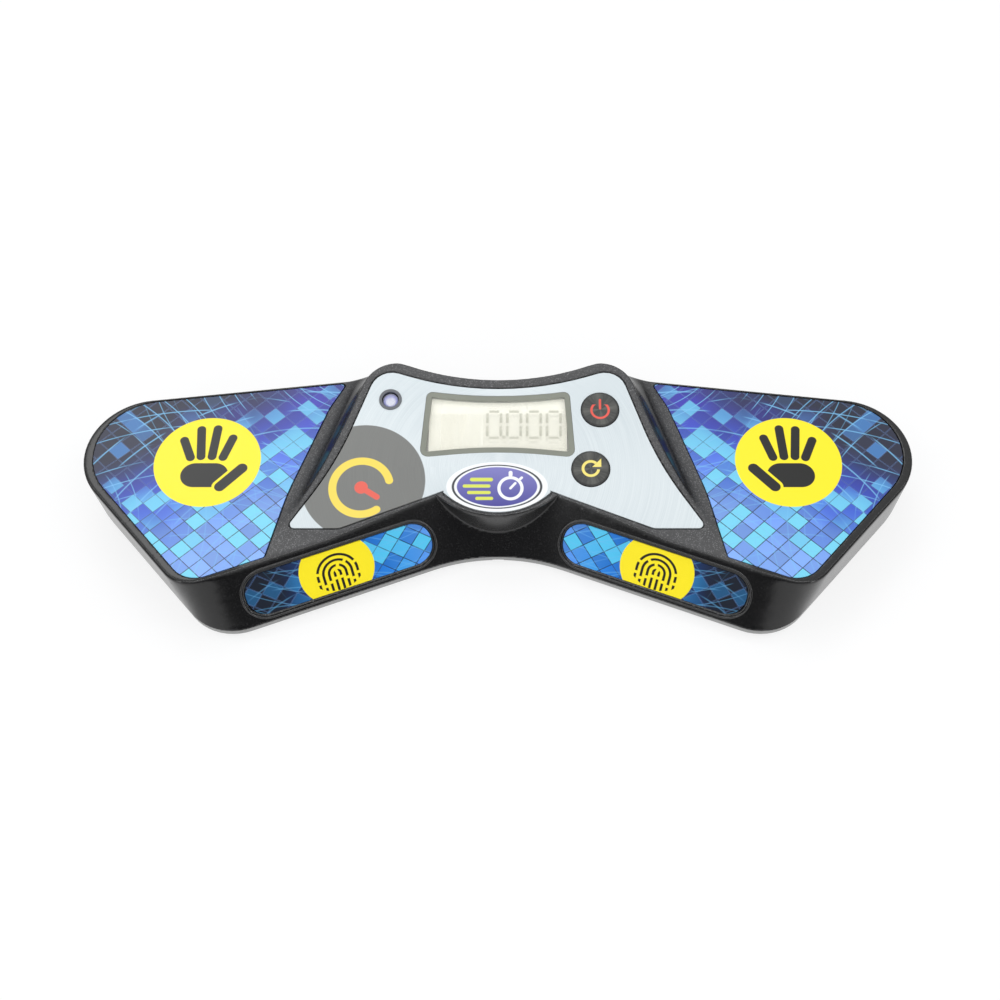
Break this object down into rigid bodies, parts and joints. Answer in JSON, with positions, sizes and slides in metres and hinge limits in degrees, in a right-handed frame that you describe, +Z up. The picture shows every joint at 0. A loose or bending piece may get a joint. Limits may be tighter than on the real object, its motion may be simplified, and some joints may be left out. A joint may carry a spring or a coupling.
{
  "type": "speed cube timer",
  "caption": "Bow-tie shaped cube timer with flat hand pads on two wings, sloped finger pads in front, a raised tilted display, push buttons and a battery bay.",
  "frame": {"origin": "middle of the underside, on the surface the feet stand on", "axes": "+Z up, +X to the right, +Y away from the user"},
  "size_m": [0.265, 0.0856, 0.0321],
  "materials": {
    "housing": "satin black with fine flake",
    "base_plastic": "satin black",
    "pad_print": "printed film, blue tiles with a yellow disc, gloss",
    "copper": "copper foil",
    "overlay": "circular brushed",
    "bezel": "grey print",
    "window": "clear",
    "lcd": "cream liquid-crystal panel",
    "pale_plastic": "moulded",
    "silicone": "layered silicone",
    "board": "solder mask",
    "black_epoxy": "black",
    "plated": "tin plated",
    "button": "dark grey, brushed",
    "plunger": "moulded",
    "lamp_ring": "grey",
    "lamp_lens": "clear lens",
    "cell": "plain sleeve",
    "screw": "zinc plated",
    "rubber": "matt"
  },
  "bodies": {
    "timer": {"top_housing": "housing", "bottom_housing": "base_plastic", "hand_pad_right": "pad_print", "hand_pad_left": "pad_print", "finger_pad_right": "pad_print", "finger_pad_left": "pad_print", "hand_plate_right": "copper", "hand_plate_left": "copper", "finger_plate_right": "copper", "finger_plate_left": "copper", "display_overlay": "overlay", "lcd_bezel": "bezel", "lcd_window": "window", "lcd_glass": "lcd", "lcd_holder": "pale_plastic", "lcd_contact_strips": "silicone", "main_board": "board", "controller_chip": "black_epoxy", "board_parts": "plated", "sensor_posts": "plated", "button_switches": "black_epoxy", "lamp_ring": "lamp_ring", "lamp_lens": "lamp_lens", "buzzer": "black_epoxy", "battery_cells": "cell", "battery_contacts": "plated", "data_jack": "black_epoxy", "housing_screws": "screw", "board_screws": "screw", "rubber_feet": "rubber"},
    "power_button": {"power_button": "button", "power_plunger": "plunger"},
    "reset_button": {"reset_button": "button", "reset_plunger": "plunger"},
    "battery_door": {"battery_door": "base_plastic"}
  },
  "joints": [
    {"name": "power_press", "type": "slide", "parent": "timer", "child": "power_button", "axis": [0, 0.1736, -0.9848], "range_m": [0, 0.0006], "stiffness_N_per_m": 2500, "springref_m": -0.0004},
    {"name": "reset_press", "type": "slide", "parent": "timer", "child": "reset_button", "axis": [0, 0.1736, -0.9848], "range_m": [0, 0.0006], "stiffness_N_per_m": 2500, "springref_m": -0.0004},
    {"name": "battery_door_slide", "type": "slide", "parent": "timer", "child": "battery_door", "axis": [0, 1, 0], "range_m": [0, 0.026]}
  ]
}
